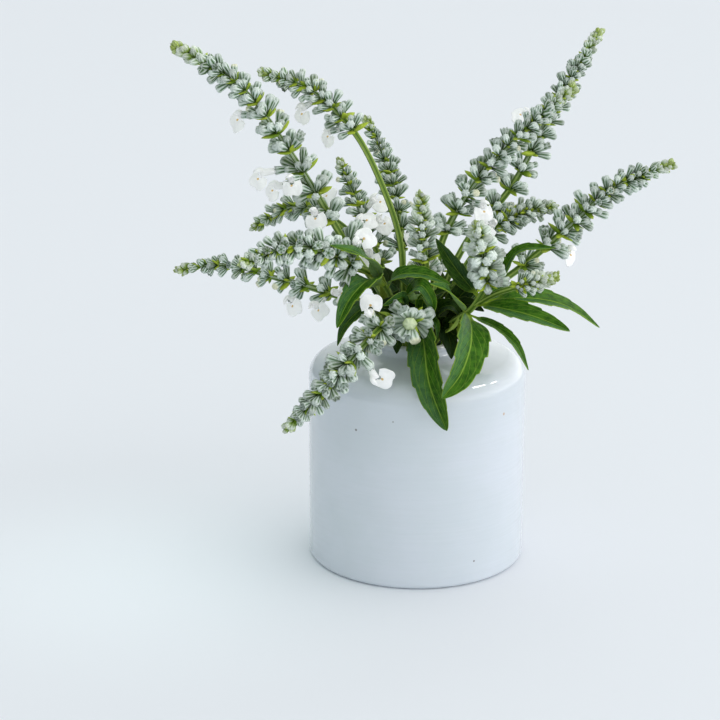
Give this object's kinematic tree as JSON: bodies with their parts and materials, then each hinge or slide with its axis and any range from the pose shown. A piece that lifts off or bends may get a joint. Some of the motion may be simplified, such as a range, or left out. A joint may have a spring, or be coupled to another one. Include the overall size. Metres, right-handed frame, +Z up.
{
  "type": "mealycup sage in a vase",
  "caption": "White flowering mealycup sage sprigs with grey felted calyces and green leaves, standing in water in a low white glazed bottle vase.",
  "frame": {"origin": "centre of the vase's flat foot, on the surface it stands on", "axes": "+Z up along the vase's axis, -Y towards the viewer, +X to the viewer's right"},
  "size_m": [0.1803, 0.101, 0.1924],
  "materials": {
    "glaze": "white gloss glaze over thrown stoneware, with faint throwing rings and a few iron specks",
    "water": "clear still water",
    "stem_and_leaf": "satin green leaf and square stem, with paler veins and ridges",
    "mealy_calyx": "matt grey-white felt over green, ribbed",
    "petal": "thin white petal"
  },
  "bodies": {
    "root": {"vase": "glaze", "water": "water", "tall_left_stem": "stem_and_leaf", "arching_left_stem": "stem_and_leaf", "back_left_stem": "stem_and_leaf", "back_centre_stem": "stem_and_leaf", "low_back_left_stem": "stem_and_leaf", "low_left_stem": "stem_and_leaf", "front_left_stem": "stem_and_leaf", "drooping_stem": "stem_and_leaf", "upright_stem": "stem_and_leaf", "leafy_stem": "stem_and_leaf", "tall_right_stem": "stem_and_leaf", "back_right_stem": "stem_and_leaf", "right_stem": "stem_and_leaf", "short_right_stem": "stem_and_leaf", "facing_stem": "stem_and_leaf", "tall_left_spike": "mealy_calyx", "arching_left_spike": "mealy_calyx", "back_left_spike": "mealy_calyx", "back_centre_spike": "mealy_calyx", "low_back_left_spike": "mealy_calyx", "low_left_spike": "mealy_calyx", "front_left_spike": "mealy_calyx", "drooping_spike": "mealy_calyx", "upright_spike": "mealy_calyx", "leafy_spike": "mealy_calyx", "tall_right_spike": "mealy_calyx", "back_right_spike": "mealy_calyx", "right_spike": "mealy_calyx", "short_right_spike": "mealy_calyx", "facing_spike": "mealy_calyx", "side_shoot_spike": "mealy_calyx"}
  },
  "joints": []
}
